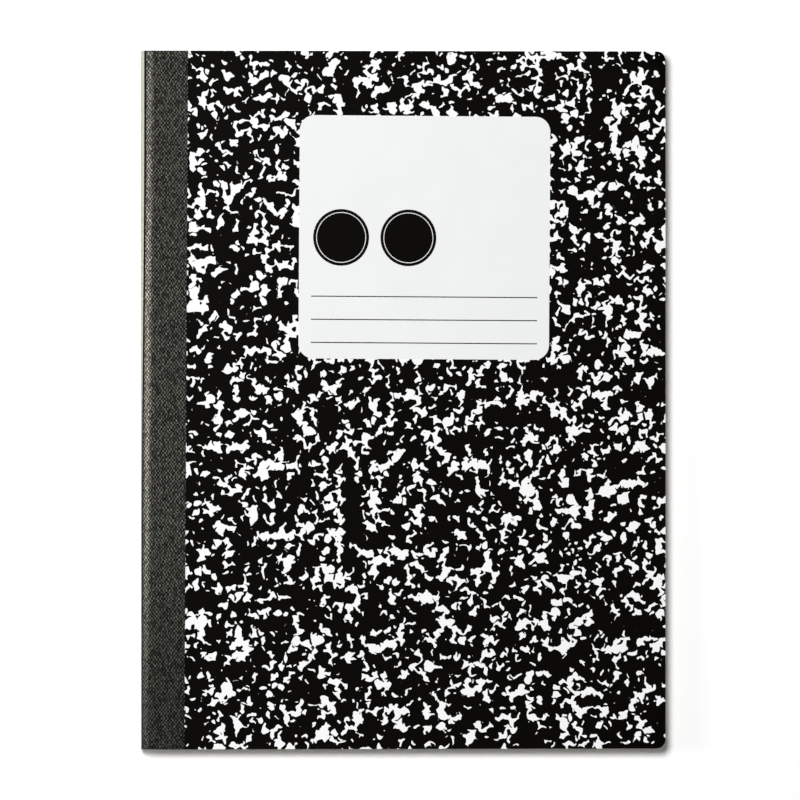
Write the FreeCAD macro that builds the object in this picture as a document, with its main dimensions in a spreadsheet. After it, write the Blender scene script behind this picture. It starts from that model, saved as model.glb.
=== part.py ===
import FreeCAD, Part
import math
import os
import random

import Sketcher

# A sewn composition notebook, closed, lying on its back cover.
# X runs from the spine to the fore-edge, Y from the tail to the head, Z out of the front cover.
# The origin is under the middle of the book, on the plane that it lies on. Lengths are in mm.

SIZES = [
    # the closed book
    ("book_width", 188.0, "spine to fore-edge"),
    ("book_height", 247.65, "tail to head, nine and three quarter inches"),
    ("corner_radius", 3.2, "the two rounded corners at the fore-edge"),
    # the sheets
    ("sheet_count", 80, "leaves in the block"),
    ("sheet_thickness", 0.085, "one leaf of writing paper"),
    ("page_clearance", 0.1, "air between the sheets and the cover, all round"),
    # the cover board and the cloth tape over its fold
    ("board_thickness", 0.6, "pressed board with its printed face"),
    ("tape_thickness", 0.2, "woven cloth with its glue"),
    ("tape_width_front", 15.4, "spine edge to the edge of the tape on the front"),
    ("tape_width_back", 15.4, "spine edge to the edge of the tape on the back"),
    # the sewing along the fold
    ("thread_diameter", 0.35, "sewing thread"),
    ("thread_clearance", 0.05, "air round the thread in its crease"),
    ("thread_margin", 7.0, "from head and tail to the ends of the sewing"),
    # the printed label
    ("ink_thickness", 0.05, "each printed layer, drawn thick enough to see"),
    ("label_width", 90.2, "across the label"),
    ("label_height", 86.3, "down the label"),
    ("label_corner", 5.3, "corner radius of the label"),
    ("label_from_spine", 56.0, "spine edge to the near side of the label"),
    ("label_from_head", 23.05, "head to the top of the label"),
    ("label_skew", 0.36, "degrees that the print is turned against the trimmed edge"),
    ("line_length", 81.5, "each writing line on the label"),
    ("line_width", 0.35, "stroke of a writing line"),
    ("line_inset", 4.4, "side of the label to the start of a line"),
    ("last_line_rise", 5.7, "bottom of the label to the last line"),
    ("line_spacing", 8.2, "from line to line"),
    ("line_count", 3, "writing lines"),
    ("disc_diameter", 20.1, "each printed disc"),
    ("disc_inset", 15.1, "side of the label to the middle of the first disc"),
    ("disc_spacing", 24.2, "from disc to disc"),
    ("disc_drop", 43.3, "top of the label to the middle of the discs"),
    ("ring_diameter", 17.7, "middle of the white ring in a disc"),
    ("ring_width", 0.27, "stroke of the white ring"),
    # the marbled print
    ("blot_pitch", 11.6, "from one white blot to the next"),
    ("blot_gap", 0.3, "black left between two blots, at least"),
    ("print_margin", 0.4, "from a blot to the edge of the board, tape or label"),
]

DISC_COUNT = 2
BLOT_CORNERS = 5
SMALLEST_BLOT = 0.78
SHORTEST_ARM = 0.5
FRONT_SEED = 11
BACK_SEED = 29

# The spine is round: sheets, board and tape are arcs about one line, the middle of the fold.
SHEETS = "Sizes.sheet_count * Sizes.sheet_thickness"
PAGE_RADIUS = f"({SHEETS} / 2)"
INNER_RADIUS = f"({PAGE_RADIUS} + Sizes.page_clearance)"
BOARD_RADIUS = f"({INNER_RADIUS} + Sizes.board_thickness)"
TAPE_RADIUS = f"({BOARD_RADIUS} + Sizes.tape_thickness)"
COVER_REACH = f"(Sizes.book_width - {TAPE_RADIUS})"
FOLD_X = f"({TAPE_RADIUS} - Sizes.book_width / 2)"
FRONT_FACE_Z = f"({TAPE_RADIUS} + {BOARD_RADIUS})"
THREAD_RADIUS = "(Sizes.thread_diameter / 2)"
THREAD_X = f"({BOARD_RADIUS} - Sizes.thread_clearance - {THREAD_RADIUS})"


def make_sheet(doc):
    """The driving dimensions, one named cell each."""
    sheet = doc.addObject("Spreadsheet::Sheet", "Sizes")
    for row, (name, value, meaning) in enumerate(SIZES, start=1):
        sheet.set(f"A{row}", name)
        sheet.set(f"B{row}", str(value))
        sheet.setAlias(f"B{row}", name)
        sheet.set(f"C{row}", meaning)
    doc.recompute()
    return sheet


def place(item, x="0", y="0", z="0"):
    """Bind an object's place to the sheet."""
    item.setExpression("Placement.Base.x", x)
    item.setExpression("Placement.Base.y", y)
    item.setExpression("Placement.Base.z", z)


def make_body(doc, name):
    """An empty body with its origin on the middle line of the fold."""
    body = doc.addObject("PartDesign::Body", name)
    body.Label = name
    place(body, x=FOLD_X, z=TAPE_RADIUS)
    return body


def plane_of(body, role):
    return next(feature for feature in body.Origin.OriginFeatures if feature.Role == role)


def make_sketch(body, name, role="XZ_Plane"):
    sketch = body.newObject("Sketcher::SketchObject", name)
    sketch.AttachmentSupport = [(plane_of(body, role), "")]
    sketch.MapMode = "FlatFace"
    return sketch


def bind(sketch, kind, where, value, name, size):
    """Add a named dimension to a sketch and bind it to an expression."""
    index = sketch.addConstraint(Sketcher.Constraint(kind, *where, value))
    sketch.renameConstraint(index, name)
    sketch.setExpression(f"Constraints.{name}", size)


def join_ends(sketch, pairs):
    for first, first_end, second, second_end in pairs:
        sketch.addConstraint(
            Sketcher.Constraint("Coincident", first, first_end, second, second_end)
        )


def arc_about_fold(sketch, radius, start, stop, name, size):
    """An arc about the sketch's origin, from start to stop in degrees, ends on the axes."""
    circle = Part.Circle(FreeCAD.Vector(0, 0, 0), FreeCAD.Vector(0, 0, 1), radius)
    arc = sketch.addGeometry(
        Part.ArcOfCircle(circle, math.radians(start), math.radians(stop))
    )
    sketch.addConstraint(Sketcher.Constraint("Coincident", arc, 3, -1, 1))
    bind(sketch, "Radius", (arc,), radius, name, size)
    for end, angle in ((1, start), (2, stop)):
        axis = -1 if angle % 180 == 0 else -2
        sketch.addConstraint(Sketcher.Constraint("PointOnObject", arc, end, axis))
    return arc


def line(sketch, start, stop):
    return sketch.addGeometry(
        Part.LineSegment(FreeCAD.Vector(*start, 0), FreeCAD.Vector(*stop, 0))
    )


def draw_strip(sketch, side, inner, outer, inner_size, outer_size, flat, flat_size):
    """Section of a sheet bent round one quarter of the spine, and then flat for a stretch.

    side is 1 for the upper half of the spine and -1 for the lower half. Without a flat the
    section is the quarter alone.
    """
    start, stop = (90, 180) if side > 0 else (180, 270)
    fold_end, flat_end = (2, 1) if side > 0 else (1, 2)
    outside = arc_about_fold(sketch, outer, start, stop, "outer_radius", outer_size)
    inside = arc_about_fold(sketch, inner, start, stop, "inner_radius", inner_size)
    crease = line(sketch, (-outer, 0), (-inner, 0))
    join_ends(sketch, [(crease, 1, outside, fold_end), (crease, 2, inside, fold_end)])
    if not flat:
        edge = line(sketch, (0, side * outer), (0, side * inner))
        join_ends(sketch, [(edge, 1, outside, flat_end), (edge, 2, inside, flat_end)])
        return
    top = line(sketch, (0, side * outer), (flat, side * outer))
    edge = line(sketch, (flat, side * outer), (flat, side * inner))
    bottom = line(sketch, (flat, side * inner), (0, side * inner))
    join_ends(
        sketch,
        [
            (top, 1, outside, flat_end),
            (top, 2, edge, 1),
            (edge, 2, bottom, 1),
            (bottom, 2, inside, flat_end),
        ],
    )
    for level in (top, bottom):
        sketch.addConstraint(Sketcher.Constraint("Horizontal", level))
    bind(sketch, "DistanceX", (-1, 1, edge, 1), flat, "flat_length", flat_size)


def draw_plate(sketch, low, high, low_size, high_size, reach, reach_size):
    """Section of a flat sheet from above the fold line to its far edge."""
    corners = [(0, low), (reach, low), (reach, high), (0, high)]
    sides = [line(sketch, corners[i], corners[(i + 1) % 4]) for i in range(4)]
    join_ends(sketch, [(sides[i], 2, sides[(i + 1) % 4], 1) for i in range(4)])
    for level in (sides[0], sides[2]):
        sketch.addConstraint(Sketcher.Constraint("Horizontal", level))
    sketch.addConstraint(Sketcher.Constraint("Vertical", sides[1]))
    for end in (1, 2):
        sketch.addConstraint(Sketcher.Constraint("PointOnObject", sides[3], end, -2))
    bind(sketch, "DistanceY", (-1, 1, sides[0], 1), low, "inner_height", low_size)
    bind(sketch, "DistanceY", (-1, 1, sides[2], 1), high, "outer_height", high_size)
    bind(sketch, "DistanceX", (-1, 1, sides[1], 1), reach, "reach", reach_size)


def pad_over_height(body, sketch):
    """Extrude a section over the whole height of the book, half each way."""
    pad = body.newObject("PartDesign::Pad", "OverHeight")
    pad.Profile = sketch
    pad.SideType = "Symmetric"
    pad.setExpression("Length", "Sizes.book_height")
    return pad


def upright_edges(shape, beyond):
    """Names of the edges that stand along Z, further out than a given X."""
    names = []
    for number, edge in enumerate(shape.Edges, start=1):
        ends = [vertex.Point for vertex in edge.Vertexes]
        if len(ends) != 2:
            continue
        run = ends[1] - ends[0]
        stands = abs(run.z) > 0.99 * run.Length
        if stands and min(end.x for end in ends) > beyond:
            names.append(f"Edge{number}")
    return names


def round_corners(doc, body, feature, radius_size, beyond=-math.inf):
    """Round the upright corners of a body."""
    doc.recompute()
    fillet = body.newObject("PartDesign::Fillet", "RoundedCorners")
    fillet.Base = (feature, upright_edges(feature.Shape, beyond))
    fillet.setExpression("Radius", radius_size)
    return fillet


def cut_thread_rebate(body, side, sizes):
    """Step in the board's edge at the fold, which holds its half of the thread."""
    sketch = make_sketch(body, "ThreadRebate")
    depth = sizes["board_radius"] - sizes["thread_diameter"] - 2 * sizes["thread_clearance"]
    outside = sizes["board_radius"] + sizes["board_thickness"]
    height = sizes["thread_diameter"] / 2 + sizes["thread_clearance"]
    corners = [(-outside, 0), (-depth, 0), (-depth, side * height), (-outside, side * height)]
    sides = [line(sketch, corners[i], corners[(i + 1) % 4]) for i in range(4)]
    join_ends(sketch, [(sides[i], 2, sides[(i + 1) % 4], 1) for i in range(4)])
    for end in (1, 2):
        sketch.addConstraint(Sketcher.Constraint("PointOnObject", sides[0], end, -1))
    sketch.addConstraint(Sketcher.Constraint("Horizontal", sides[2]))
    for upright in (sides[1], sides[3]):
        sketch.addConstraint(Sketcher.Constraint("Vertical", upright))
    far = f"({BOARD_RADIUS} + Sizes.board_thickness)"
    near = f"({BOARD_RADIUS} - Sizes.thread_diameter - 2 * Sizes.thread_clearance)"
    rise = f"({THREAD_RADIUS} + Sizes.thread_clearance)"
    bind(sketch, "DistanceX", (sides[0], 1, -1, 1), outside, "outside", far)
    bind(sketch, "DistanceX", (sides[0], 2, -1, 1), depth, "depth", near)
    low, high = ((-1, 1), (sides[2], 1)) if side > 0 else ((sides[2], 1), (-1, 1))
    bind(sketch, "DistanceY", (*low, *high), height, "rise", rise)
    pocket = body.newObject("PartDesign::Pocket", "Rebate")
    pocket.Profile = sketch
    pocket.SideType = "Symmetric"
    pocket.setExpression("Length", "Sizes.book_height")
    return pocket


def make_page_block(doc, sizes):
    """The leaves as one solid: round at the fold, trimmed flush with the cover."""
    body = make_body(doc, "page_block")
    sketch = make_sketch(body, "Section")
    radius = sizes["page_radius"]
    reach = sizes["cover_reach"]
    fold = arc_about_fold(sketch, radius, 90, 270, "fold_radius", PAGE_RADIUS)
    bottom = line(sketch, (0, -radius), (reach, -radius))
    edge = line(sketch, (reach, -radius), (reach, radius))
    top = line(sketch, (reach, radius), (0, radius))
    join_ends(
        sketch,
        [(fold, 2, bottom, 1), (bottom, 2, edge, 1), (edge, 2, top, 1), (top, 2, fold, 1)],
    )
    for level in (bottom, top):
        sketch.addConstraint(Sketcher.Constraint("Horizontal", level))
    bind(sketch, "DistanceX", (-1, 1, edge, 1), reach, "reach", COVER_REACH)
    pad = pad_over_height(body, sketch)
    round_corners(doc, body, pad, "Sizes.corner_radius", beyond=reach / 2)
    return body


def make_front_cover(doc, sizes):
    """The front board, flat from the shoulder of the spine to the fore-edge."""
    body = make_body(doc, "front_cover")
    sketch = make_sketch(body, "Section")
    reach = sizes["cover_reach"]
    draw_plate(
        sketch,
        sizes["inner_radius"],
        sizes["board_radius"],
        INNER_RADIUS,
        BOARD_RADIUS,
        reach,
        COVER_REACH,
    )
    pad = pad_over_height(body, sketch)
    round_corners(doc, body, pad, "Sizes.corner_radius", beyond=reach / 2)
    return body


def make_cover_spine(doc, sizes):
    """The board over the upper half of the spine, from the sewing to the front shoulder."""
    body = make_body(doc, "cover_spine")
    sketch = make_sketch(body, "Section")
    draw_strip(
        sketch,
        1,
        sizes["inner_radius"],
        sizes["board_radius"],
        INNER_RADIUS,
        BOARD_RADIUS,
        0,
        None,
    )
    pad_over_height(body, sketch)
    cut_thread_rebate(body, 1, sizes)
    return body


def make_back_cover(doc, sizes):
    """The back board, bent round the lower half of the spine up to the sewing."""
    body = make_body(doc, "back_cover")
    sketch = make_sketch(body, "Section")
    reach = sizes["cover_reach"]
    draw_strip(
        sketch,
        -1,
        sizes["inner_radius"],
        sizes["board_radius"],
        INNER_RADIUS,
        BOARD_RADIUS,
        reach,
        COVER_REACH,
    )
    pad = pad_over_height(body, sketch)
    round_corners(doc, body, pad, "Sizes.corner_radius", beyond=reach / 2)
    cut_thread_rebate(body, -1, sizes)
    return body


def make_spine_tape(doc, name, side, width_name, sizes):
    """The cloth tape on one half of the spine and, with a width, on to the cover."""
    body = make_body(doc, name)
    sketch = make_sketch(body, "Section")
    flat_size = f"(Sizes.{width_name} - {TAPE_RADIUS})" if width_name else None
    flat = sizes[width_name] - sizes["tape_radius"] if width_name else 0
    draw_strip(
        sketch,
        side,
        sizes["board_radius"],
        sizes["tape_radius"],
        BOARD_RADIUS,
        TAPE_RADIUS,
        flat,
        flat_size,
    )
    pad_over_height(body, sketch)
    return body


def make_tape_on_front(doc, sizes):
    """The cloth tape on the front board, from the shoulder to the tape's edge."""
    body = make_body(doc, "spine_tape_front")
    sketch = make_sketch(body, "Section")
    draw_plate(
        sketch,
        sizes["board_radius"],
        sizes["tape_radius"],
        BOARD_RADIUS,
        TAPE_RADIUS,
        sizes["tape_width_front"] - sizes["tape_radius"],
        f"(Sizes.tape_width_front - {TAPE_RADIUS})",
    )
    pad_over_height(body, sketch)
    return body


def make_sewing_thread(doc):
    """The outside run of the lockstitch, in the crease of the board under the tape."""
    thread = doc.addObject("Part::Cylinder", "sewing_thread")
    thread.Label = "sewing_thread"
    thread.setExpression("Radius", THREAD_RADIUS)
    thread.setExpression("Height", "Sizes.book_height - 2 * Sizes.thread_margin")
    thread.Placement.Rotation = FreeCAD.Rotation(FreeCAD.Vector(1, 0, 0), -90)
    place(
        thread,
        x=f"{FOLD_X} - {THREAD_X}",
        y="Sizes.thread_margin - Sizes.book_height / 2",
        z=TAPE_RADIUS,
    )
    return thread


def place_on_label(item, layer):
    """Put a printed piece on the front board, in the frame of the label's middle.

    The turn gets its axis here and its angle from the sheet.
    """
    item.Placement.Rotation = FreeCAD.Rotation(FreeCAD.Vector(0, 0, 1), 1)
    place(
        item,
        x="-Sizes.book_width / 2 + Sizes.label_from_spine + Sizes.label_width / 2",
        y="Sizes.book_height / 2 - Sizes.label_from_head - Sizes.label_height / 2",
        z=f"{FRONT_FACE_Z} + {layer} * Sizes.ink_thickness",
    )
    item.setExpression("Placement.Rotation.Angle", "-Sizes.label_skew")


def make_front_label(doc, sizes):
    """The white field of the label, printed with the marbling."""
    body = doc.addObject("PartDesign::Body", "front_label")
    body.Label = "front_label"
    place_on_label(body, 0)
    sketch = make_sketch(body, "Field", "XY_Plane")
    across = sizes["label_width"] / 2
    down = sizes["label_height"] / 2
    corners = [(-across, -down), (across, -down), (across, down), (-across, down)]
    sides = [line(sketch, corners[i], corners[(i + 1) % 4]) for i in range(4)]
    join_ends(sketch, [(sides[i], 2, sides[(i + 1) % 4], 1) for i in range(4)])
    for level in (sides[0], sides[2]):
        sketch.addConstraint(Sketcher.Constraint("Horizontal", level))
    for upright in (sides[1], sides[3]):
        sketch.addConstraint(Sketcher.Constraint("Vertical", upright))
    sketch.addConstraint(
        Sketcher.Constraint("Symmetric", sides[0], 1, sides[1], 2, -1, 1)
    )
    bind(
        sketch, "DistanceX", (sides[0], 1, sides[0], 2), 2 * across, "across", "Sizes.label_width"
    )
    bind(
        sketch, "DistanceY", (sides[1], 1, sides[1], 2), 2 * down, "down", "Sizes.label_height"
    )
    pad = body.newObject("PartDesign::Pad", "Print")
    pad.Profile = sketch
    pad.setExpression("Length", "Sizes.ink_thickness")
    round_corners(doc, body, pad, "Sizes.label_corner")
    return body


def make_label_lines(doc, sizes):
    """The writing lines printed across the label."""
    lines = []
    for number in range(int(sizes["line_count"])):
        stroke = doc.addObject("Part::Box", f"Line{number + 1}")
        stroke.setExpression("Length", "Sizes.line_length")
        stroke.setExpression("Width", "Sizes.line_width")
        stroke.setExpression("Height", "Sizes.ink_thickness")
        place(
            stroke,
            x="Sizes.line_inset - Sizes.label_width / 2",
            y="Sizes.last_line_rise - Sizes.label_height / 2"
            f" + {number} * Sizes.line_spacing - Sizes.line_width / 2",
        )
        lines.append(stroke)
    group = doc.addObject("Part::Compound", "label_lines")
    group.Label = "label_lines"
    group.Links = lines
    place_on_label(group, 1)
    return group


def make_disc(doc, name, diameter, x, y):
    disc = doc.addObject("Part::Cylinder", name)
    disc.setExpression("Radius", f"({diameter}) / 2")
    disc.setExpression("Height", "Sizes.ink_thickness")
    place(disc, x=x, y=y)
    return disc


def make_label_discs(doc):
    """Two dark discs on the label, each with a fine white ring left inside its rim."""
    pieces = []
    for number in range(DISC_COUNT):
        x = f"Sizes.disc_inset + {number} * Sizes.disc_spacing - Sizes.label_width / 2"
        y = "Sizes.label_height / 2 - Sizes.disc_drop"
        whole = make_disc(doc, f"Disc{number + 1}", "Sizes.disc_diameter", x, y)
        ring = make_disc(
            doc, f"RingOutside{number + 1}", "Sizes.ring_diameter + Sizes.ring_width", x, y
        )
        middle = make_disc(
            doc, f"Middle{number + 1}", "Sizes.ring_diameter - Sizes.ring_width", x, y
        )
        rim = doc.addObject("Part::Cut", f"Rim{number + 1}")
        rim.Base = whole
        rim.Tool = ring
        pieces += [rim, middle]
    group = doc.addObject("Part::Compound", "label_discs")
    group.Label = "label_discs"
    group.Links = pieces
    place_on_label(group, 1)
    return group


def blot_outline(rng, middle, reach):
    """A closed outline with arms of uneven length, as ink leaves between its drops."""
    points = []
    turn = rng.uniform(0, 2 * math.pi)
    for number in range(BLOT_CORNERS):
        arm = reach * rng.uniform(SHORTEST_ARM, 1)
        angle = turn + 2 * math.pi * number / BLOT_CORNERS
        points.append(
            FreeCAD.Vector(
                middle[0] + arm * math.cos(angle), middle[1] + arm * math.sin(angle), 0
            )
        )
    return Part.makePolygon(points + points[:1])


def touches_label(middle, reach, sizes):
    """Whether a blot at this place would reach into the label."""
    room = reach + sizes["print_margin"]
    left = sizes["label_from_spine"] - sizes["book_width"] / 2
    top = sizes["book_height"] / 2 - sizes["label_from_head"]
    # the turned label stands this much out of its upright box
    lean = sizes["label_height"] / 2 * math.sin(math.radians(sizes["label_skew"]))
    across = left - room - lean < middle[0] < left + sizes["label_width"] + room + lean
    down = top - sizes["label_height"] - room - lean < middle[1] < top + room + lean
    return across and down


def make_marbling(doc, name, seed, tape_width, spare_label, sizes):
    """White blots of the marbled print, as flat pieces on the outside of a board.

    Each blot has a cell of its own. A small one strays further in it than a large one, and
    every other column is half a cell higher.
    """
    rng = random.Random(seed)
    longest = (sizes["blot_pitch"] - sizes["blot_gap"]) / 2
    edge = longest + sizes["print_margin"]
    left = sizes[tape_width] - sizes["book_width"] / 2 + edge
    right = sizes["book_width"] / 2 - edge
    top = sizes["book_height"] / 2 - edge
    columns = max(1, int((right - left) // sizes["blot_pitch"]))
    rows = max(1, int(2 * top // sizes["blot_pitch"]))
    blots = []
    for column in range(columns + 1):
        shift = 0.5 if column % 2 else 0
        for row in range(rows + 1 - (column % 2)):
            reach = longest * rng.uniform(SMALLEST_BLOT, 1)
            drift = (longest - reach) * rng.random()
            heading = rng.uniform(0, 2 * math.pi)
            middle = (
                left + (right - left) * column / columns + drift * math.cos(heading),
                -top + 2 * top * (row + shift) / rows + drift * math.sin(heading),
            )
            outline = blot_outline(rng, middle, reach)
            if spare_label and touches_label(middle, reach, sizes):
                continue
            face = Part.Face(outline)
            blots.append(face.extrude(FreeCAD.Vector(0, 0, sizes["ink_thickness"])))
    marbling = doc.addObject("Part::Feature", name)
    marbling.Label = name
    marbling.Shape = Part.makeCompound(blots)
    return marbling


def read_sizes(sheet):
    """The sheet's values and the radii and reach that follow from them, for first drafts."""
    sizes = {name: float(sheet.get(name)) for name, _, _ in SIZES}
    sizes["page_radius"] = sizes["sheet_count"] * sizes["sheet_thickness"] / 2
    sizes["inner_radius"] = sizes["page_radius"] + sizes["page_clearance"]
    sizes["board_radius"] = sizes["inner_radius"] + sizes["board_thickness"]
    sizes["tape_radius"] = sizes["board_radius"] + sizes["tape_thickness"]
    sizes["cover_reach"] = sizes["book_width"] - sizes["tape_radius"]
    return sizes


def check(doc, pieces):
    """Stop if any object failed or any piece has no sound shape."""
    for item in doc.Objects:
        if "Invalid" in item.State or "Error" in item.State:
            raise RuntimeError(f"{item.Name} failed: {item.State}")
    for piece in pieces:
        if piece.Shape.isNull() or not piece.Shape.isValid():
            raise RuntimeError(f"{piece.Label} has no valid shape")
        if not piece.Shape.Solids:
            raise RuntimeError(f"{piece.Label} has no solid")


doc = FreeCAD.newDocument("CompositionNotebook")
sizes = read_sizes(make_sheet(doc))

pieces = [
    make_page_block(doc, sizes),
    make_sewing_thread(doc),
    make_front_cover(doc, sizes),
    make_cover_spine(doc, sizes),
    make_back_cover(doc, sizes),
    make_tape_on_front(doc, sizes),
    make_spine_tape(doc, "spine_tape_fold", 1, None, sizes),
    make_spine_tape(doc, "spine_tape_back", -1, "tape_width_back", sizes),
    make_front_label(doc, sizes),
    make_label_lines(doc, sizes),
    make_label_discs(doc),
]

front_marbling = make_marbling(
    doc, "front_marbling", FRONT_SEED, "tape_width_front", True, sizes
)
place(front_marbling, z=FRONT_FACE_Z)
back_marbling = make_marbling(
    doc, "back_marbling", BACK_SEED, "tape_width_back", False, sizes
)
place(back_marbling, z="Sizes.tape_thickness - Sizes.ink_thickness")
pieces += [front_marbling, back_marbling]

doc.recompute()
check(doc, pieces)

os.makedirs("parts", exist_ok=True)
for piece in pieces:
    piece.Shape.exportStep(f"parts/{piece.Label}.step")
    box = piece.Shape.BoundBox
    print(
        f"{piece.Label}: {len(piece.Shape.Solids)} solids, {piece.Shape.Volume:.1f} mm3,"
        f" x {box.XMin:.2f}..{box.XMax:.2f} y {box.YMin:.2f}..{box.YMax:.2f}"
        f" z {box.ZMin:.2f}..{box.ZMax:.2f}"
    )
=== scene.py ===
import math
import random

import bmesh
import bpy
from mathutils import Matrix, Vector


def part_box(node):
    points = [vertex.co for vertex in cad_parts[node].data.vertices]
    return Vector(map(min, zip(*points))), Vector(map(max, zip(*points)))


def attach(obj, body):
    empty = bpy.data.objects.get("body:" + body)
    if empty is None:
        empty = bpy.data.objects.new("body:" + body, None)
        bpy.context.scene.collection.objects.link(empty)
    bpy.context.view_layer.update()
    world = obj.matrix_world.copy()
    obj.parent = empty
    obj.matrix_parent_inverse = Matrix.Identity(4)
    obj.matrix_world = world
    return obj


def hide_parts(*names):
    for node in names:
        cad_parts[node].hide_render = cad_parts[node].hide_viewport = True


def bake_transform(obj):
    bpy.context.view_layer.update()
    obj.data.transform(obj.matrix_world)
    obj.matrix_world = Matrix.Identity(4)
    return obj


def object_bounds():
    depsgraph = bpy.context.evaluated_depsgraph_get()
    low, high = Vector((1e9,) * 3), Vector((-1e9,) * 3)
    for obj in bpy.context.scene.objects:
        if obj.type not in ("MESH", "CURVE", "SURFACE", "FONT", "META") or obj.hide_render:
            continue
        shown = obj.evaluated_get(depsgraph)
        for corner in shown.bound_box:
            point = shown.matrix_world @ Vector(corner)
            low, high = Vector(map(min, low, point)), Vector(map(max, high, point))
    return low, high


# A sewn composition notebook with a marbled cover, closed on a white table. X runs from the spine to
# the fore-edge, Y from the tail to the head of the page, and Z up out of the front cover. Lengths are
# in metres, but those in a pattern that lies on a sheet spread flat are in mm.
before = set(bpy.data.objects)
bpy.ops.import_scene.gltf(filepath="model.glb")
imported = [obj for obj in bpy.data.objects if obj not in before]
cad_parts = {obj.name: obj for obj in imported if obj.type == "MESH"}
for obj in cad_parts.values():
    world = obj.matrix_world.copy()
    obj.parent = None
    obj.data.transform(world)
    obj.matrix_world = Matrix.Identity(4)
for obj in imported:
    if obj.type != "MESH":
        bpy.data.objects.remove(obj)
cad_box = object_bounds()

# Writing paper, 80 leaves.
# Each of the 40 sheets of uncoated wood-free paper is folded once, so that it gives two leaves. The
# folds nest in each other, which makes the round back, and the other three sides are cut together.
MM = 0.001
paper_low, paper_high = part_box("page_block")
fold_z = (paper_low.z + paper_high.z) / 2
paper_radius = (paper_high.z - paper_low.z) / 2
fold_x = paper_low.x + paper_radius
head = paper_high.y
fore_edge = paper_high.x
sheet_count = 40
sheet_pitch = paper_radius / sheet_count
paper_share = 0.88
sheet_thickness = paper_share * sheet_pitch
corner_radius = 3.2 * MM
corner_steps = 6
trim_error = 0.10 * MM
leaf_arc_degrees = 15
sharp_corner = math.radians(35)


def linear(hex_colour):
    """An sRGB hex colour as linear red, green, blue and alpha."""
    parts = [int(hex_colour[i:i + 2], 16) / 255 for i in (1, 3, 5)]
    return [p / 12.92 if p <= 0.04045 else ((p + 0.055) / 1.055) ** 2.4 for p in parts] + [1]


def add_node(tree, kind, inputs=None, stops=(), **settings):
    """Adds a shader node with its settings and any ramp colours, and sets or links its inputs."""
    node = tree.nodes.new("ShaderNode" + kind)
    for name, value in settings.items():
        setattr(node, name, value)
    for number, (position, colour) in enumerate(stops):
        marks = node.color_ramp.elements
        mark = marks[number] if number < len(marks) else marks.new(position)
        mark.position = position
        mark.color = linear(colour)
    for name, value in (inputs or {}).items():
        if isinstance(value, bpy.types.NodeSocket):
            tree.links.new(value, node.inputs[name])
        else:
            node.inputs[name].default_value = value
    return node


def new_material(name, **sockets):
    """A material, its node tree and its surface shader, with some of the shader's sockets set."""
    material = bpy.data.materials.new(name)
    material.use_nodes = True
    shader = material.node_tree.nodes["Principled BSDF"]
    for socket, value in sockets.items():
        shader.inputs[socket.replace("_", " ")].default_value = value
    return material, material.node_tree, shader


# Wood-free writing paper, slightly warm and quite matt, with a faint cloud of pulp. Its faces carry
# pale blue feint lines and a red margin line, placed on each sheet as it lies before it is folded.
paper_white = "#f0ede3"
paper_cloud = "#e9e6da"
pulp_size = 1.5
feint_blue = "#a9bfdb"
margin_red = "#dd9aa2"
line_pitch = 8.7
line_width = 0.28
first_line_from_head = 28.0
margin_from_edge = 31.8
ruled_paper, tree, shader = new_material("ruled_writing_paper", Roughness=0.9, Specular_IOR_Level=0.25)
place = add_node(tree, "Attribute", attribute_name="laid_flat").outputs["Vector"]
across, down, _ = add_node(tree, "SeparateXYZ", {0: place}).outputs
from_head = add_node(tree, "Math", {0: head / MM, 1: down}, operation="SUBTRACT").outputs[0]
past_first = add_node(tree, "Math", {0: from_head, 1: first_line_from_head - line_pitch / 2},
                      operation="SUBTRACT").outputs[0]
wrapped = add_node(tree, "Math", {0: past_first, 1: line_pitch}, operation="FLOORED_MODULO").outputs[0]
on_line = add_node(tree, "Math", {0: wrapped, 1: line_pitch / 2, 2: line_width / 2},
                   operation="COMPARE").outputs[0]
below_head = add_node(tree, "Math", {0: past_first, 1: 0.0}, operation="GREATER_THAN").outputs[0]
feint = add_node(tree, "Math", {0: on_line, 1: below_head}, operation="MULTIPLY").outputs[0]
page_width = (fore_edge - fold_x) / MM + paper_radius / MM * math.pi / 2
front_margin = add_node(tree, "Math", {0: across, 1: margin_from_edge, 2: line_width / 2},
                        operation="COMPARE")
back_margin = add_node(tree, "Math", {0: across, 1: margin_from_edge - page_width, 2: line_width / 2},
                       operation="COMPARE")
margin = add_node(tree, "Math", {0: front_margin.outputs[0], 1: back_margin.outputs[0]},
                  operation="MAXIMUM")
pulp = add_node(tree, "TexNoise", {"Vector": place, "Scale": 1 / pulp_size, "Detail": 4.0,
                                   "Roughness": 0.6})
paper_tint = add_node(tree, "Mix", {"Factor": pulp.outputs[0], "A": linear(paper_cloud),
                                    "B": linear(paper_white)}, data_type="RGBA")
blue = add_node(tree, "Mix", {"Factor": feint, "A": paper_tint.outputs["Result"], "B": linear(feint_blue)},
                data_type="RGBA")
red = add_node(tree, "Mix", {"Factor": margin.outputs[0], "A": blue.outputs["Result"],
                             "B": linear(margin_red)}, data_type="RGBA")
tree.links.new(red.outputs["Result"], shader.inputs["Base Color"])
grain = add_node(tree, "Bump", {"Height": pulp.outputs[0], "Strength": 0.15, "Distance": 0.02 * MM})
tree.links.new(grain.outputs[0], shader.inputs["Normal"])

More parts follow.
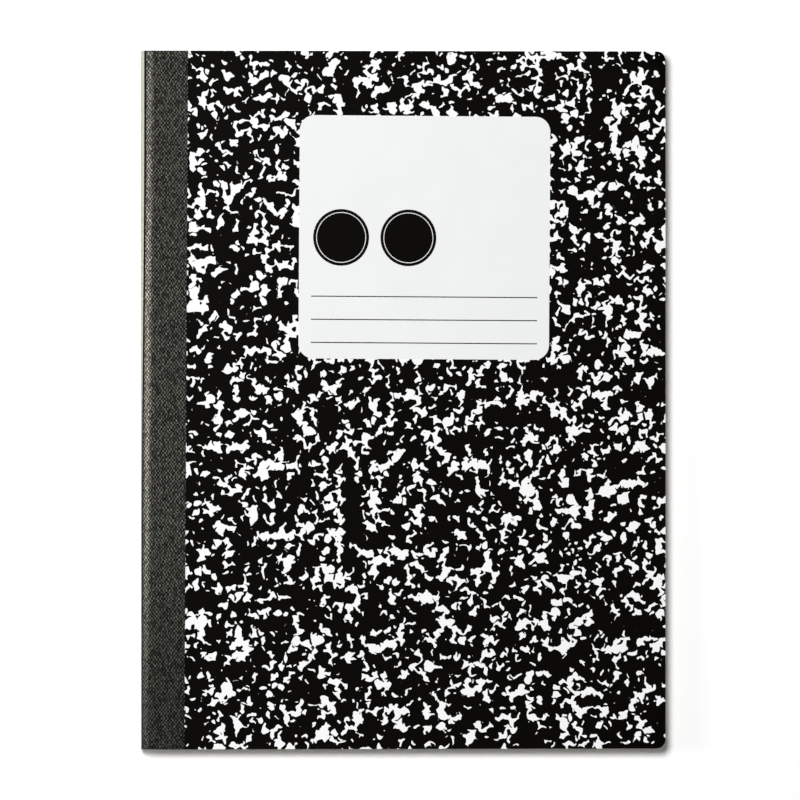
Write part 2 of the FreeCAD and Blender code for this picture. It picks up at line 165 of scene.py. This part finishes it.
# The trimmed edge of the block, where the knife leaves the leaves in fine uneven bands, each about
# two leaves high and far longer than high.
band_height = 0.16 * MM
bands_to_metre = 60
cut_paper, tree, shader = new_material("trimmed_paper_edge", Roughness=0.95, Specular_IOR_Level=0.2)
where = add_node(tree, "TexCoord").outputs["Object"]
flat_bands = add_node(tree, "VectorMath", {0: where, 1: (bands_to_metre, bands_to_metre, 1 / band_height)},
                      operation="MULTIPLY")
bands = add_node(tree, "TexNoise", {"Vector": flat_bands.outputs[0], "Scale": 1.0, "Detail": 3.0})
edge_tint = add_node(tree, "ValToRGB", {"Fac": bands.outputs[0]},
                     stops=((0.32, "#d9d3c3"), (0.62, "#f8f5ea")))
tree.links.new(edge_tint.outputs[0], shader.inputs["Base Color"])


def on_fold(along, radius):
    """Place and outward direction on a sheet wrapped round the fold, at a length from its middle."""
    quarter = radius * math.pi / 2
    if abs(along) < quarter:
        angle = along / radius
        out = Vector((-math.cos(angle), 0, math.sin(angle)))
        return Vector((fold_x, 0, fold_z)) + radius * out, out
    side = math.copysign(1, along)
    return Vector((fold_x + abs(along) - quarter, 0, fold_z + side * radius)), Vector((0, 0, side))


def laid_out(point, radius):
    """Where a point of a wrapped sheet lies when the sheet is spread flat, in mm from its middle."""
    run = radius * math.pi / 2 + point.x - fold_x
    if point.x < fold_x:
        run = radius * math.atan2(abs(point.z - fold_z), fold_x - point.x)
    return Vector((math.copysign(run, point.z - fold_z) / MM, point.y / MM, 0))


def rounded(along, end, half, corner):
    """Half the width of a sheet with round corners, at a length near its end."""
    left = abs(end) - abs(along)
    if left >= corner:
        return half
    return half - corner + math.sqrt(max(0, corner**2 - (corner - left) ** 2))


def wrap_sheet(build, radius, thickness, places, half_at, rows):
    """Adds a closed sheet to a bmesh. Its faces get 0 outside, 1 inside and 2 on the cut edges."""
    grid = {}
    for side, offset in ((0, 0.0), (1, -thickness)):
        for i, along in enumerate(places):
            point, out = on_fold(along, radius)
            half = half_at(along)
            for j in range(rows + 1):
                spot = point + out * offset + Vector((0, half * (2 * j / rows - 1), 0))
                grid[side, i, j] = build.verts.new(spot)
    last = len(places) - 1
    for i in range(last):
        for j in range(rows):
            ring = [grid[0, i, j], grid[0, i + 1, j], grid[0, i + 1, j + 1], grid[0, i, j + 1]]
            build.faces.new(ring).material_index = 0
            ring = [grid[1, i, j], grid[1, i, j + 1], grid[1, i + 1, j + 1], grid[1, i + 1, j]]
            build.faces.new(ring).material_index = 1
    rim = [(i, 0) for i in range(last)] + [(last, j) for j in range(rows)]
    rim += [(i, rows) for i in range(last, 0, -1)] + [(0, j) for j in range(rows, 0, -1)]
    for here, there in zip(rim, rim[1:] + rim[:1]):
        ring = [grid[0, *there], grid[0, *here], grid[1, *here], grid[1, *there]]
        build.faces.new(ring).material_index = 2


def finish_mesh(name, build, materials, radius):
    """Makes the piece, and keeps where each point lies on the flat sheet for its pattern."""
    build.normal_update()
    for face in build.faces:
        face.smooth = True
    for edge in build.edges:
        edge.smooth = edge.calc_face_angle(0) < sharp_corner
    mesh = bpy.data.meshes.new(name)
    build.to_mesh(mesh)
    build.free()
    spread = mesh.attributes.new("laid_flat", "FLOAT_VECTOR", "POINT")
    for vertex, value in zip(mesh.vertices, spread.data):
        value.vector = laid_out(vertex.co, radius)
    for material in materials:
        mesh.materials.append(material)
    piece = bpy.data.objects.new(name, mesh)
    bpy.context.collection.objects.link(piece)
    return piece


rng = random.Random(5)
build = bmesh.new()
for number in range(sheet_count):
    radius = paper_radius - number * sheet_pitch
    reach = radius * math.pi / 2 + fore_edge - fold_x
    short = [rng.uniform(0, trim_error) for _ in range(3)]
    start = short[0] - reach
    end = reach - short[1]
    places = {start, end}
    places.update(radius * math.radians(angle) for angle in range(-90, 91, leaf_arc_degrees))
    for step in range(1, corner_steps + 1):
        inset = corner_radius * (1 - math.cos(math.pi / 2 * step / corner_steps))
        places.update((start + inset, end - inset))

    def half_at(along):
        return rounded(along, end if along > 0 else start, head - short[2], corner_radius)

    wrap_sheet(build, radius, sheet_thickness, sorted(places), half_at, 1)
leaves = finish_mesh("writing_leaves", build, [ruled_paper, ruled_paper, cut_paper], paper_radius)
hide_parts("page_block")
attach(leaves, "pages")

# Sewing thread.
# Two-ply cotton thread. A lockstitch goes through the board and the middle fold of all 40 sheets. This
# is its outside run, in the crease of the board, where the tape covers it.
thread_low, thread_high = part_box("sewing_thread")
thread_radius = (thread_high.x - thread_low.x) / 2
thread_middle = (thread_low + thread_high) / 2
twist_pitch = 1.3 * MM
strand_share = 0.52
strand_radius = thread_radius * strand_share
strand_offset = thread_radius - strand_radius
strand_sides = 6
steps_per_twist = 8
twist_steps = round((thread_high.y - thread_low.y) / twist_pitch * steps_per_twist)

# Bleached cotton, soft and matt, a little darker between its tufts of lint.
lint_size = 0.3 * MM
cotton, tree, shader = new_material("bleached_cotton_thread", Roughness=0.85, Sheen_Weight=0.2)
where = add_node(tree, "TexCoord").outputs["Object"]
lint = add_node(tree, "TexNoise", {"Vector": where, "Scale": 1 / lint_size, "Detail": 2.0})
tint = add_node(tree, "Mix", {"Factor": lint.outputs[0], "A": linear("#cfcabb"), "B": linear("#f2efe6")},
                data_type="RGBA")
tree.links.new(tint.outputs["Result"], shader.inputs["Base Color"])

build = bmesh.new()
for strand in range(2):
    rings = []
    for step in range(twist_steps + 1):
        turn = 2 * math.pi * step / steps_per_twist + strand * math.pi
        along = thread_low.y + (thread_high.y - thread_low.y) * step / twist_steps
        centre = Vector((thread_middle.x + strand_offset * math.cos(turn), along,
                         thread_middle.z + strand_offset * math.sin(turn)))
        rings.append([
            build.verts.new(centre + strand_radius * Vector((math.cos(a), 0, math.sin(a))))
            for a in (2 * math.pi * side / strand_sides for side in range(strand_sides))
        ])
    for ring, following in zip(rings, rings[1:]):
        for side in range(strand_sides):
            beside = (side + 1) % strand_sides
            build.faces.new((ring[side], ring[beside], following[beside], following[side]))
    build.faces.new(reversed(rings[0]))
    build.faces.new(rings[-1])
bmesh.ops.recalc_face_normals(build, faces=build.faces)
thread = finish_mesh("twisted_thread", build, [cotton], paper_radius)
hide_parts("sewing_thread")
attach(thread, "pages")

# Cover board.
# One sheet of grey pulp board, lined white inside, with the marbled print outside. It is sewn to the
# paper and folded with it. Here it is two pieces that meet on the round back, one for the front and one for
# the back.
board_low, board_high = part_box("front_cover")
board_radius = board_high.z - fold_z
board_thickness = board_high.z - board_low.z
board_half = board_high.y
board_end = board_radius * math.pi / 2 + board_high.x - fold_x
split_angle = math.pi / 4
board_split = board_radius * split_angle
crease_reach = 1.0 * MM
bend_reach = 1.4 * crease_reach
bend_steps = 8
arc_step = math.radians(2.5)
board_step = 12 * MM
board_rows = 12
past_corner = 1.05 * corner_radius
board_bevel = 0.05 * MM
bevel_segments = 2
same_place = 1e-7

# Offset print in black on a white liner, under a satin varnish. The pattern is what drops of black
# colour leave between them: small pointed white islands, thin necks and black fields. Each layer has
# the size of its blots in mm, its weight, and a shift that keeps it apart from the other layers.
print_layers = ((3.1, 5.6, (0.0, 0.0, 0.0)), (1.6, 4.0, (77.0, 3.0, 0.0)))
field_layer = (8.0, 4.0, (7.0, 43.0, 0.0))
swirl_size = 2.4
swirl_reach = 2.1
black_level = 0.92
ink_edge = 0.05
mottle_size = 14.0
varnish_grain = 0.5
varnish_gloss = 0.24
varnish_shine = 0.12
deep_black = "#040301"
warm_black = "#070502"


def marbled(tree, place):
    """Where the black ink is, at a place in mm: 0 on the white islands and 1 on the black."""
    swirl = add_node(tree, "TexNoise", {"Vector": place, "Scale": 1 / swirl_size, "Detail": 0.0},
                     noise_dimensions="2D")
    centred = add_node(tree, "VectorMath", {0: swirl.outputs["Color"], 1: (0.5, 0.5, 0.5)},
                       operation="SUBTRACT")
    pushed = add_node(tree, "VectorMath", {0: centred.outputs[0], 1: (swirl_reach,) * 3, 2: place},
                      operation="MULTIPLY_ADD")
    level = black_level
    layers = [(pushed.outputs[0], *layer) for layer in print_layers] + [(place, *field_layer)]
    for vector, size, weight, shift in layers:
        moved = add_node(tree, "VectorMath", {0: vector, 1: shift}, operation="ADD")
        blots = add_node(tree, "TexNoise", {"Vector": moved.outputs[0], "Scale": 1 / size, "Detail": 0.0},
                         noise_dimensions="2D")
        around = add_node(tree, "Math", {0: blots.outputs[0], 1: 0.5}, operation="SUBTRACT")
        level = add_node(tree, "Math", {0: around.outputs[0], 1: weight, 2: level},
                         operation="MULTIPLY_ADD").outputs[0]
    edge = add_node(tree, "MapRange", {"Value": level, "From Min": -ink_edge, "From Max": ink_edge})
    return edge.outputs[0]


marbled_print, tree, shader = new_material("varnished_marbled_print", Roughness=varnish_gloss,
                                           Specular_IOR_Level=varnish_shine)
place = add_node(tree, "Attribute", attribute_name="laid_flat").outputs["Vector"]
ink = marbled(tree, place)
mottle = add_node(tree, "TexNoise", {"Vector": place, "Scale": 1 / mottle_size, "Detail": 3.0})
black = add_node(tree, "Mix", {"Factor": mottle.outputs[0], "A": linear(deep_black),
                               "B": linear(warm_black)}, data_type="RGBA")
white = add_node(tree, "Mix", {"Factor": mottle.outputs[0], "A": linear("#f7f8f9"), "B": linear("#fbfbfb")},
                 data_type="RGBA")
printed = add_node(tree, "Mix", {"Factor": ink, "A": white.outputs["Result"],
                                 "B": black.outputs["Result"]}, data_type="RGBA")
tree.links.new(printed.outputs["Result"], shader.inputs["Base Color"])
fine = add_node(tree, "TexNoise", {"Vector": place, "Scale": 1 / varnish_grain, "Detail": 2.0})
skin = add_node(tree, "Bump", {"Height": fine.outputs[0], "Strength": 0.12, "Distance": 0.02 * MM})
tree.links.new(skin.outputs[0], shader.inputs["Normal"])

# The white liner inside the cover, uncoated, so it is matt and a little cloudy.
liner_cloud = 2.0
liner, tree, shader = new_material("uncoated_white_liner", Roughness=0.85, Specular_IOR_Level=0.3)
place = add_node(tree, "Attribute", attribute_name="laid_flat").outputs["Vector"]
fibres = add_node(tree, "TexNoise", {"Vector": place, "Scale": 1 / liner_cloud, "Detail": 6.0,
                                     "Roughness": 0.65})
tint = add_node(tree, "Mix", {"Factor": fibres.outputs[0], "A": linear("#dcd8cc"), "B": linear("#f4f2ea")},
                data_type="RGBA")
tree.links.new(tint.outputs["Result"], shader.inputs["Base Color"])
felt = add_node(tree, "Bump", {"Height": fibres.outputs[0], "Strength": 0.2, "Distance": 0.05 * MM})
tree.links.new(felt.outputs[0], shader.inputs["Normal"])

# The cut edge of the board: bare grey pulp, rough and speckled.
speck_size = 0.4 * MM
pulp_edge, tree, shader = new_material("cut_pulp_board", Roughness=0.95, Specular_IOR_Level=0.2)
where = add_node(tree, "TexCoord").outputs["Object"]
specks = add_node(tree, "TexNoise", {"Vector": where, "Scale": 1 / speck_size, "Detail": 3.0})
tint = add_node(tree, "Mix", {"Factor": specks.outputs[0], "A": linear("#8f8a7f"), "B": linear("#cdc8bc")},
                data_type="RGBA")
tree.links.new(tint.outputs["Result"], shader.inputs["Base Color"])


def stations(radius, start, end, flat_step, bend):
    """Lengths along a wrapped sheet, close together on its arc and over the bend past each end of it."""
    quarter = radius * math.pi / 2
    places = {start, end}
    steps = round(math.pi / arc_step)
    places.update(quarter * (2 * i / steps - 1) for i in range(steps + 1))
    for i in range(1, bend_steps + 1):
        places.update((-quarter - bend * i / bend_steps, quarter + bend * i / bend_steps))
    for i in range(1, int((max(abs(start), abs(end)) - quarter) / flat_step) + 1):
        places.update((-quarter - bend - flat_step * i, quarter + bend + flat_step * i))
    return sorted(p for p in places if start <= p <= end)


def with_corners(places, end):
    """The lengths along a sheet, with more of them where the corners at its end are round."""
    side = math.copysign(1, end)
    kept = [p for p in places if abs(end) - abs(p) > past_corner or p * end < 0]
    for step in range(corner_steps + 1):
        kept.append(end - side * corner_radius * (1 - math.cos(math.pi / 2 * step / corner_steps)))
    return sorted(kept)


def soften(build, offset, split, radius):
    """Rounds the outline of a sheet, but not the end where it meets its other half."""
    middle, out = on_fold(split, radius)
    across_cut = Vector((0, 1, 0)).cross(out)

    def on_cut(vertex):
        return abs((vertex.co - middle).dot(across_cut)) < same_place

    rim = [
        e for e in build.edges
        if len(e.link_faces) == 2
        and sum(f.material_index == 2 for f in e.link_faces) == 1
        and not all(on_cut(v) for v in e.verts)
    ]
    bmesh.ops.bevel(build, geom=rim, offset=offset, offset_type="OFFSET", segments=bevel_segments,
                    profile=0.5, affect="EDGES", clamp_overlap=True)


def board_piece(name, start, end, split):
    """One of the two pieces of the board, from the fore-edge to the place where they meet."""
    places = stations(board_radius, start, end, board_step, bend_reach)
    far = end if abs(end) > abs(start) else start
    places = with_corners(places, far)

    def half_at(along):
        if along * far < 0:
            return board_half
        return rounded(along, far, board_half, corner_radius)

    build = bmesh.new()
    wrap_sheet(build, board_radius, board_thickness, places, half_at, board_rows)
    soften(build, board_bevel, split, board_radius)
    return finish_mesh(name, build, [marbled_print, liner, pulp_edge], board_radius)


front_board = board_piece("front_board", board_split, board_end, board_split)
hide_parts("front_cover", "cover_spine", "front_marbling")
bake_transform(front_board)

back_board = board_piece("back_board", -board_end, board_split, board_split)
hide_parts("back_cover", "back_marbling")
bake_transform(back_board)

# Cloth tape.
# Charcoal bookbinder's cloth, plain woven and filled with coating, glued over the round back and on
# to both covers. It is laid a little askew, so its front edge leans by 0.7 mm each way from its middle.
tape_low, tape_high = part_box("spine_tape_front")
tape_radius = tape_high.z - fold_z
tape_thickness = tape_high.z - tape_low.z
tape_reach = tape_radius * math.pi / 2 + tape_high.x - fold_x
tape_split = tape_radius * split_angle
tape_lean = 0.68 * MM
tape_step = 3 * MM
tape_rows = 30
tape_bevel = 0.05 * MM
crease_depth = 0.1 * MM

# Filled cotton cloth, charcoal and nearly matt: pale crowns of a plain weave round dark pits. The real
# threads are about 0.4 mm apart, near one pixel, so they are drawn a little coarser. The shoulder of
# the spine carries a painted highlight, paler cloth colours strongest between the middle and the head.
# The cloth beside it on the round back is paler near the head, up to a crease painted dark as shade,
# and the whole cloth is painted darker towards the tail as painted shade. Places are in mm, across the
# cloth from the middle of the spine and along it from its own middle, but the colours along it go from
# 0 at the tail to 1 at the head.
warp_spacing = 0.58
weft_spacing = 0.77
weft_height = 0.12
wander_size = 1.4
wander_reach = 1.1
crown_from, crown_to = 0.35, 1.45
pit_level, crown_level = 0.15, 0.80
shoulder_tail, shoulder_head = 2.85, 4.55
shoulder_width = 2.0
crease_tail, crease_head = 0.9, 2.85
crease_bend_from, crease_bend_to = -70.0, 100.0
crease_width = 0.38
crease_fade = 1.5 * crease_width
strip_from, strip_full = -1.0, 0.8
strip_fades, strip_whole = -45.0, 10.0
cloth_colours = ((pit_level, "#080807"), (crown_level, "#6a6c62"))
# Painted highlight: paler cloth colours for the shoulder, standing in for the lamps' gloss there.
shoulder_highlight_colours = ((pit_level, "#4b473f"), (crown_level, "#dcd7c9"))
# Paler cloth colours for the strip beside the crease.
pale_strip_colours = ((pit_level, "#bcb9ad"), (crown_level, "#d8d5c9"))
# Painted shade: the colour in the crease.
crease_shade_colour = "#060402"
# Strength of the painted shoulder highlight along the spine, from the tail to the head.
shoulder_highlight_along = ((0.0, "#7c7c7c"), (0.45, "#eeeeee"), (0.68, "#ffffff"), (1.0, "#a6a6a6"))
# Painted shade along the spine: the cloth is darkened towards the tail.
tail_shade_along = ((0.10, "#cbcbcb"), (0.32, "#ffffff"))
woven_tape, tree, shader = new_material("charcoal_book_cloth", Roughness=0.5, Specular_IOR_Level=0.06)
place = add_node(tree, "Attribute", attribute_name="laid_flat").outputs["Vector"]
across, down, _ = add_node(tree, "SeparateXYZ", {0: place}).outputs
wobble = add_node(tree, "TexNoise", {"Vector": place, "Scale": 1 / wander_size, "Detail": 1.0})
centred = add_node(tree, "VectorMath", {0: wobble.outputs["Color"], 1: (0.5, 0.5, 0.5)},
                   operation="SUBTRACT")
bent = add_node(tree, "VectorMath", {0: centred.outputs[0], 1: (wander_reach, wander_reach, 0.0), 2: place},
                operation="MULTIPLY_ADD")
cells = add_node(tree, "VectorMath", {0: bent.outputs[0], 1: (1 / warp_spacing, 1 / weft_spacing, 0)},
                 operation="MULTIPLY")
warp_at, weft_at, _ = add_node(tree, "SeparateXYZ", {0: cells.outputs[0]}).outputs
crowns = []
for at in (warp_at, weft_at):
    half_turns = add_node(tree, "Math", {0: at, 1: math.pi}, operation="MULTIPLY")
    wave = add_node(tree, "Math", {0: half_turns.outputs[0]}, operation="SINE")
    crowns.append(add_node(tree, "Math", {0: wave.outputs[0]}, operation="ABSOLUTE").outputs[0])
low_weft = add_node(tree, "Math", {0: crowns[1], 1: weft_height}, operation="MULTIPLY")
checks = add_node(tree, "TexChecker", {"Vector": cells.outputs[0], "Scale": 1.0})
weave = add_node(tree, "Mix", {"Factor": checks.outputs["Fac"], "A": crowns[0], "B": low_weft.outputs[0]},
                 data_type="FLOAT")
crossing = add_node(tree, "VectorMath", {0: cells.outputs[0]}, operation="FLOOR")
uneven = add_node(tree, "TexWhiteNoise", {"Vector": crossing.outputs[0]}, noise_dimensions="2D")
fill = add_node(tree, "MapRange", {"Value": uneven.outputs["Value"], "To Min": crown_from,
                                   "To Max": crown_to})
height = add_node(tree, "Math", {0: weave.outputs["Result"], 1: fill.outputs[0]},
                  operation="MULTIPLY").outputs[0]
plain_cloth = add_node(tree, "ValToRGB", {"Fac": height}, stops=cloth_colours)
shoulder_highlight_cloth = add_node(tree, "ValToRGB", {"Fac": height}, stops=shoulder_highlight_colours)
along = add_node(tree, "MapRange", {"Value": down, "From Min": -head / MM,
                                    "From Max": head / MM}).outputs[0]
shoulder_at = add_node(tree, "Math", {0: along, 1: shoulder_head - shoulder_tail, 2: shoulder_tail},
                       operation="MULTIPLY_ADD")
off_shoulder = add_node(tree, "Math", {0: across, 1: shoulder_at.outputs[0]}, operation="SUBTRACT")
off_shoulder = add_node(tree, "Math", {0: off_shoulder.outputs[0]}, operation="ABSOLUTE")
shoulder = add_node(tree, "MapRange", {"Value": off_shoulder.outputs[0], "From Max": shoulder_width,
                                       "To Min": 1.0, "To Max": 0.0}, interpolation_type="SMOOTHSTEP")
# The painted highlight on the shoulder, varying in strength along the spine.
shoulder_highlight_strength = add_node(tree, "ValToRGB", {"Fac": along}, stops=shoulder_highlight_along)
pale = add_node(tree, "Math", {0: shoulder.outputs[0], 1: shoulder_highlight_strength.outputs[0]}, operation="MULTIPLY")
shouldered = add_node(tree, "Mix", {"Factor": pale.outputs[0], "A": plain_cloth.outputs[0],
                                    "B": shoulder_highlight_cloth.outputs[0]}, data_type="RGBA")
crease_at = add_node(tree, "MapRange", {"Value": down, "From Min": crease_bend_from,
                                        "From Max": crease_bend_to, "To Min": crease_tail,
                                        "To Max": crease_head}, interpolation_type="SMOOTHSTEP")
off_crease = add_node(tree, "Math", {0: across, 1: crease_at.outputs[0]}, operation="SUBTRACT").outputs[0]
# The paler strip of cloth on the round back, on the spine's side of the crease, fading out towards the
# tail.
spine_side = add_node(tree, "MapRange", {"Value": off_crease, "From Min": -crease_width,
                                         "From Max": -crease_fade})
upper_side = add_node(tree, "MapRange", {"Value": across, "From Min": strip_from, "From Max": strip_full})
to_head = add_node(tree, "MapRange", {"Value": down, "From Min": strip_fades, "From Max": strip_whole})
pale_strip = add_node(tree, "Math", {0: spine_side.outputs[0], 1: upper_side.outputs[0]}, operation="MULTIPLY")
pale_strip = add_node(tree, "Math", {0: pale_strip.outputs[0], 1: to_head.outputs[0]}, operation="MULTIPLY")
pale_strip_cloth = add_node(tree, "ValToRGB", {"Fac": height}, stops=pale_strip_colours)
light_fold = add_node(tree, "Mix", {"Factor": pale_strip.outputs[0], "A": shouldered.outputs["Result"],
                                    "B": pale_strip_cloth.outputs[0]}, data_type="RGBA")
# Painted shade in the crease.
crease_far = add_node(tree, "Math", {0: off_crease}, operation="ABSOLUTE")
crease = add_node(tree, "MapRange", {"Value": crease_far.outputs[0], "From Min": crease_width,
                                     "From Max": crease_fade, "To Min": 1.0, "To Max": 0.0})
crease_shaded = add_node(tree, "Mix", {"Factor": crease.outputs[0], "A": light_fold.outputs["Result"],
                                 "B": linear(crease_shade_colour)}, data_type="RGBA")
# Painted shade that darkens the cloth towards the tail.
tail_shade = add_node(tree, "ValToRGB", {"Fac": along}, stops=tail_shade_along)
tint = add_node(tree, "Mix", {"Factor": 1.0, "A": crease_shaded.outputs["Result"], "B": tail_shade.outputs[0]},
                data_type="RGBA", blend_type="MULTIPLY")
tree.links.new(tint.outputs["Result"], shader.inputs["Base Color"])
cloth_bump = add_node(tree, "Bump", {"Height": height, "Strength": 0.7, "Distance": 0.1 * MM})
tree.links.new(cloth_bump.outputs[0], shader.inputs["Normal"])


def tape_piece(name, start, end, split, lean):
    """One of the two pieces of the tape, with its crease pressed in where the cloth carries painted shade.
    """
    places = stations(tape_radius, start, end, tape_step, bend_reach)
    build = bmesh.new()
    wrap_sheet(build, tape_radius, tape_thickness, places, lambda along: board_half, tape_rows)
    soften(build, tape_bevel, split, tape_radius)
    for vertex in build.verts:
        flat = laid_out(vertex.co, tape_radius)
        rise = (flat.y - crease_bend_from) / (crease_bend_to - crease_bend_from)
        rise = min(1.0, max(0.0, rise))
        off = flat.x - crease_tail - (crease_head - crease_tail) * rise**2 * (3 - 2 * rise)
        inward = Vector((fold_x, vertex.co.y, fold_z)) - vertex.co
        if vertex.co.x < fold_x and inward.length > tape_radius - tape_thickness / 2:
            vertex.co += inward.normalized() * crease_depth * math.exp(-(off / crease_width) ** 2)
        past_fold = max(0.0, vertex.co.x - fold_x) / (tape_high.x - fold_x)
        vertex.co.x += lean * past_fold * vertex.co.y / board_half
    return finish_mesh(name, build, [woven_tape, woven_tape, woven_tape], tape_radius)


front_tape = tape_piece("front_tape", tape_split, tape_reach, tape_split, tape_lean)
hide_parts("spine_tape_front", "spine_tape_fold")
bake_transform(front_tape)

back_tape = tape_piece("back_tape", -tape_reach, tape_split, tape_split, 0.0)
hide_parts("spine_tape_back")
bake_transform(back_tape)

# Label.
# The label is part of the print: a white field that the marbling leaves free, with three writing
# lines and two dark discs, each with a thin white ring near its rim. Their shapes are the part's own.

# The bare white of the liner under the same varnish, a little greyer than between the marbling.
label_white, tree, shader = new_material("varnished_white_field", Roughness=varnish_gloss,
                                         Specular_IOR_Level=varnish_shine)
where = add_node(tree, "TexCoord").outputs["Object"]
mottle = add_node(tree, "TexNoise", {"Vector": where, "Scale": 1 / (mottle_size * MM), "Detail": 3.0})
tint = add_node(tree, "Mix", {"Factor": mottle.outputs[0], "A": linear("#ebecec"), "B": linear("#f1f2f2")},
                data_type="RGBA")
tree.links.new(tint.outputs["Result"], shader.inputs["Base Color"])

# The same black ink and varnish as in the marbling.
label_black, tree, shader = new_material("varnished_black_ink", Roughness=varnish_gloss,
                                         Specular_IOR_Level=varnish_shine)
where = add_node(tree, "TexCoord").outputs["Object"]
mottle = add_node(tree, "TexNoise", {"Vector": where, "Scale": 1 / (mottle_size * MM), "Detail": 3.0})
tint = add_node(tree, "Mix", {"Factor": mottle.outputs[0], "A": linear(deep_black),
                              "B": linear(warm_black)}, data_type="RGBA")
tree.links.new(tint.outputs["Result"], shader.inputs["Base Color"])

label_print = {"front_label": label_white, "label_lines": label_black, "label_discs": label_black}
for node, material in label_print.items():
    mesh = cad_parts[node].data
    mesh.materials.clear()
    mesh.materials.append(material)

# Floor, lamps and camera.
# A plain white table under a soft lamp high on the upper left and a weaker one low on the left, as in
# a catalogue picture.
floor_size = 3.0
bpy.ops.mesh.primitive_plane_add(size=floor_size, location=(0, 0, cad_box[0].z))
floor = bpy.context.object
floor.name = "floor"

# A matt white table top. Where it is looked at, it is lit up to full white and takes the notebook's
# shadow, and from some way off it turns into a backdrop that is evenly white.
seen_white = 1.12
shadow_reach = 0.33
backdrop_from = 0.6
floor_white, tree, shader = new_material("white_table", Roughness=0.9, Specular_IOR_Level=0.0,
                                         Base_Color=linear("#f7f7f7"))
rays = add_node(tree, "LightPath")
mirrored = add_node(tree, "Math", {0: rays.outputs["Is Glossy Ray"],
                                   1: rays.outputs["Is Transmission Ray"]}, operation="MAXIMUM")
looked_at = add_node(tree, "Math", {0: mirrored.outputs[0], 1: rays.outputs["Is Camera Ray"]},
                     operation="MAXIMUM")
lit = add_node(tree, "BsdfDiffuse", {"Color": (seen_white, seen_white, seen_white, 1)})
backdrop = add_node(tree, "Emission", {"Color": (1, 1, 1, 1), "Strength": 1.0})
spot = add_node(tree, "TexCoord").outputs["Object"]
away = add_node(tree, "VectorMath", {0: spot}, operation="LENGTH").outputs["Value"]
faded = add_node(tree, "MapRange", {"Value": away, "From Min": shadow_reach, "From Max": backdrop_from})
seen = add_node(tree, "MixShader", {0: faded.outputs[0], 1: lit.outputs[0], 2: backdrop.outputs[0]})
table = add_node(tree, "MixShader", {0: looked_at.outputs[0], 1: shader.outputs[0], 2: seen.outputs[0]})
tree.links.new(table.outputs[0], tree.nodes["Material Output"].inputs["Surface"])
floor.data.materials.append(floor_white)

# Both lamps: the direction that each hangs in, what it faces, and how far, wide and strong it is.
high_way = (-0.31, 0.235, 1)
high_aim = (0, 0, 0)
high_distance = 1.6
high_width = 0.528
high_power = 22.3
side_way = (-0.89, 0, 0.454)
side_aim = (-0.09, 0.045, 0)
side_distance = 2.0
side_width = 0.86
side_power = 9.6


def hang_lamp(name, way, aim, distance, width, power):
    """A round soft lamp, hung at a distance in the given direction from the place that it faces."""
    data = bpy.data.lights.new(name, "AREA")
    data.shape = "DISK"
    data.size = width
    data.energy = power
    lamp = bpy.data.objects.new(name, data)
    bpy.context.collection.objects.link(lamp)
    way = Vector(way).normalized()
    lamp.location = Vector(aim) + way * distance
    lamp.rotation_euler = way.to_track_quat("Z", "Y").to_euler()


hang_lamp("high_lamp", high_way, high_aim, high_distance, high_width, high_power)
hang_lamp("side_lamp", side_way, side_aim, side_distance, side_width, side_power)

# The room is dim all round. What gloss mirrors from it is a dim ceiling over paler walls, and what
# the camera sees past the table is plain white. A height is 0 at eye level and 1 straight up.
room_light = 0.12
wall_light = 0.5
wall_top = 0.35
ceiling_from = 0.7
world = bpy.data.worlds.new("studio")
bpy.context.scene.world = world
world.use_nodes = True
tree = world.node_tree
rays = add_node(tree, "LightPath")
mirrored = add_node(tree, "Math", {0: rays.outputs["Is Glossy Ray"],
                                   1: rays.outputs["Is Transmission Ray"]}, operation="MAXIMUM")
upward = add_node(tree, "SeparateXYZ", {0: add_node(tree, "TexCoord").outputs["Generated"]}).outputs[2]
walls = add_node(tree, "MapRange", {"Value": upward, "From Min": wall_top, "From Max": ceiling_from,
                                    "To Min": wall_light, "To Max": room_light})
room = add_node(tree, "Mix", {"Factor": mirrored.outputs[0], "A": room_light, "B": walls.outputs[0]},
                data_type="FLOAT")
strength = add_node(tree, "Mix", {"Factor": rays.outputs["Is Camera Ray"], "A": room.outputs["Result"],
                                  "B": 1.0}, data_type="FLOAT")
tree.links.new(strength.outputs["Result"], tree.nodes["Background"].inputs["Strength"])
tree.nodes["Background"].inputs["Color"].default_value = (1, 1, 1, 1)

# The photograph looks down from about 10 degrees to the left of upright, through a long lens. The
# lens and the camera's place put the notebook where its edges are in the picture.
picture_px = 800
book_left_px = 141.6
book_right_px = 665.9
book_top_px = 50.95
book_bottom_px = 748.95
camera_lean = math.radians(9.7)
camera_distance = 12.0
camera_data = bpy.data.cameras.new("camera")
camera = bpy.data.objects.new("camera", camera_data)
bpy.context.collection.objects.link(camera)
bpy.context.scene.camera = camera
camera.rotation_euler = (0, -camera_lean, 0)
px_size = (cad_box[1].y - cad_box[0].y) / (book_bottom_px - book_top_px)
camera_data.sensor_width = 36
camera_data.lens = camera_data.sensor_width * camera_distance / (px_size * picture_px)
right = Vector((math.cos(camera_lean), 0, math.sin(camera_lean)))
back = Vector((-math.sin(camera_lean), 0, math.cos(camera_lean)))
spots = [Vector((x, 0, z)).dot(right) for x, z in (
    (cad_box[0].x, fold_z), (cad_box[1].x, board_high.z))]
book_centre = right * sum(spots) / 2 + back * board_high.z
picture_centre = book_centre + px_size * (
    right * (picture_px / 2 - (book_left_px + book_right_px) / 2)
    + Vector((0, (book_top_px + book_bottom_px) / 2 - picture_px / 2, 0)))
camera.location = picture_centre + back * camera_distance
bpy.context.scene.view_settings.view_transform = "Standard"
